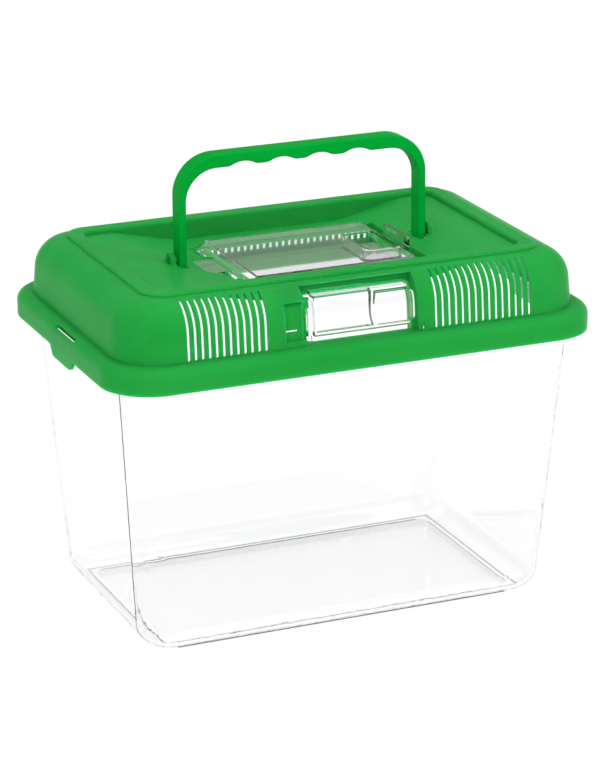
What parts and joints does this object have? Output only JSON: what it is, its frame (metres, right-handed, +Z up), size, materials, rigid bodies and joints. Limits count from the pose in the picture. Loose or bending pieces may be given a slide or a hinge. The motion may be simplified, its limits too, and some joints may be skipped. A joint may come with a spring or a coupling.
{
  "type": "plastic pet keeper",
  "caption": "Portable clear plastic tank for small pets with a domed lid that clips on, air slots, a swinging carry handle, a clear top hatch and a clear front flap.",
  "frame": {"origin": "centre of the foot ring's underside, where the tank stands", "axes": "+X along the long side, to the right seen from the front; +Y from the flap in the front to the back; +Z up"},
  "size_m": [0.3, 0.2, 0.2781],
  "materials": {
    "clear_plastic": "clear polystyrene, polished",
    "lid_plastic": "translucent green, smooth",
    "handle_plastic": "green, smooth"
  },
  "bodies": {
    "tank": {"tank": "clear_plastic"},
    "lid": {"lid": "lid_plastic"},
    "top_hatch": {"top_hatch": "clear_plastic"},
    "front_flap": {"front_flap": "clear_plastic"},
    "handle": {"handle": "handle_plastic"}
  },
  "joints": [
    {"name": "lid_lift", "type": "slide", "parent": "tank", "child": "lid", "axis": [0, 0, 1], "range_m": [0, 0.06]},
    {"name": "handle_swing", "type": "hinge", "parent": "lid", "child": "handle", "pos_m": [0, -0.002, 0.217], "axis": [1, 0, 0], "range_deg": [-60, 60]},
    {"name": "hatch_open", "type": "hinge", "parent": "lid", "child": "top_hatch", "pos_m": [-0.0512, 0, 0.2088], "axis": [0, -1, 0], "range_deg": [0, 27]},
    {"name": "flap_open", "type": "hinge", "parent": "lid", "child": "front_flap", "pos_m": [-0.0324, -0.09, 0.1863], "axis": [0, -0.2588, -0.9659], "range_deg": [0, 100]}
  ]
}
